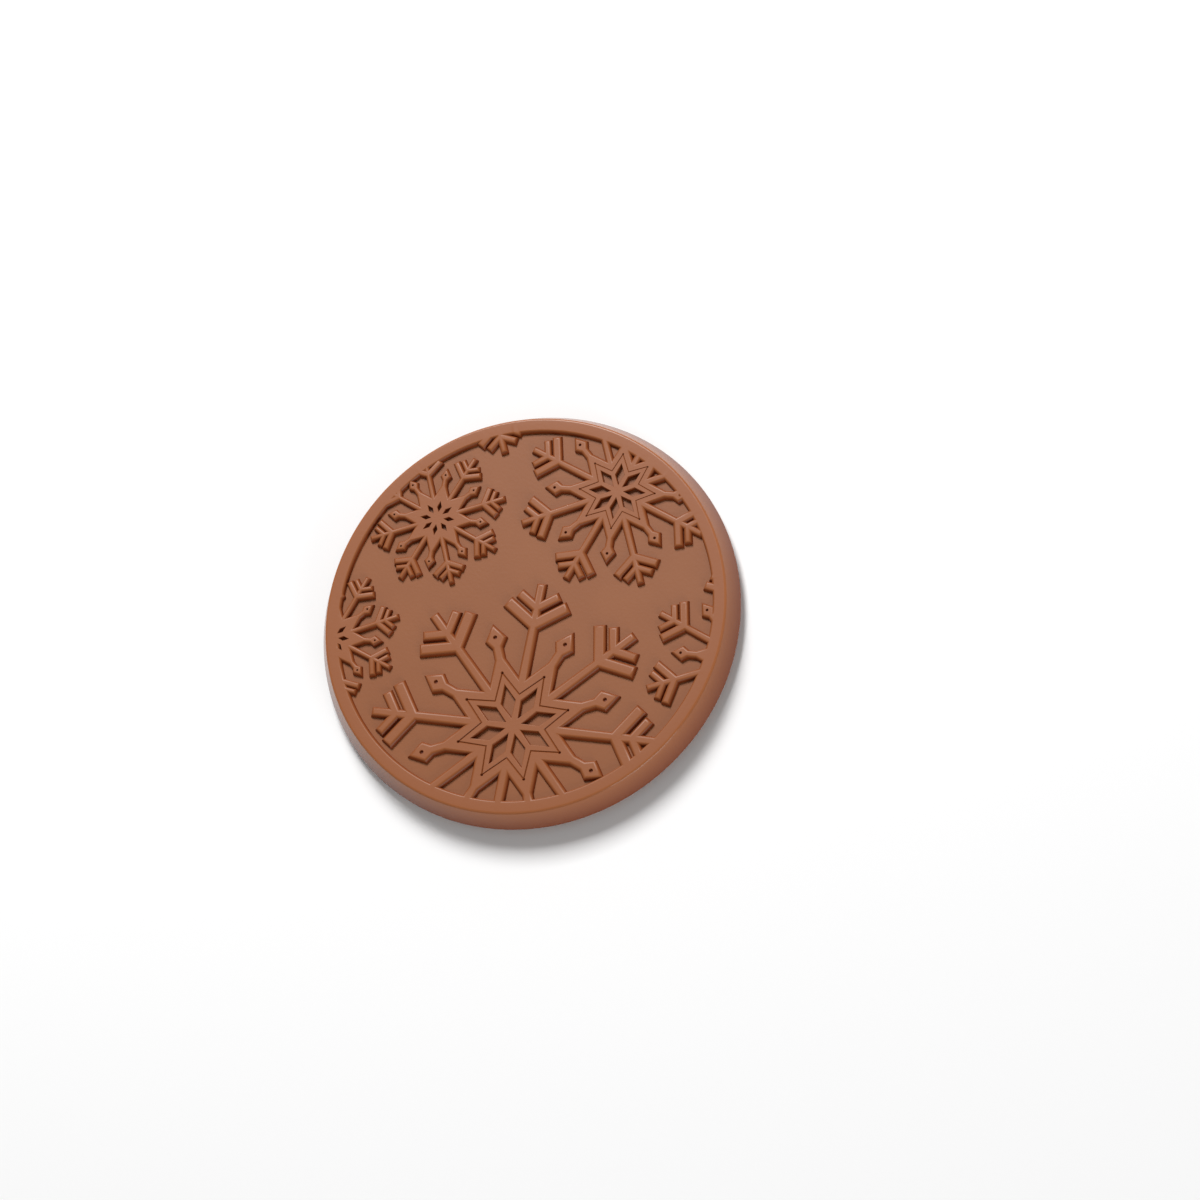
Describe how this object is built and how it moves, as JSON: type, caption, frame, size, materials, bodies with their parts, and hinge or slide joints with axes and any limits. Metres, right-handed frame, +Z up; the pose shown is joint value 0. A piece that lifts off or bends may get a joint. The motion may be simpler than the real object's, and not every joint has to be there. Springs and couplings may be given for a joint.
{
  "type": "chocolate covered biscuit",
  "caption": "Round golden biscuit set into a moulded milk chocolate disc, whose face has a raised rim and a relief of snowflakes; it lies with the snowflakes up.",
  "frame": {"origin": "middle of the face it rests on: on the part's axis, at the height of the flat tops of the pattern on the biscuit's underside", "axes": "+Z up out of the snowflake face, along the part's axis; +Y towards the medium snowflake's side of the face and away from the largest snowflake; +X to the right of that, towards the cut snowflake at the rim"},
  "size_m": [0.065, 0.065, 0.0052],
  "materials": {
    "milk_chocolate": "satin moulded milk chocolate, a little shinier on the drafted wall",
    "baked_biscuit": "matt baked biscuit, cream on the raised pattern and golden in the grooves"
  },
  "bodies": {
    "root": {"chocolate": "milk_chocolate", "biscuit": "baked_biscuit"}
  },
  "joints": []
}
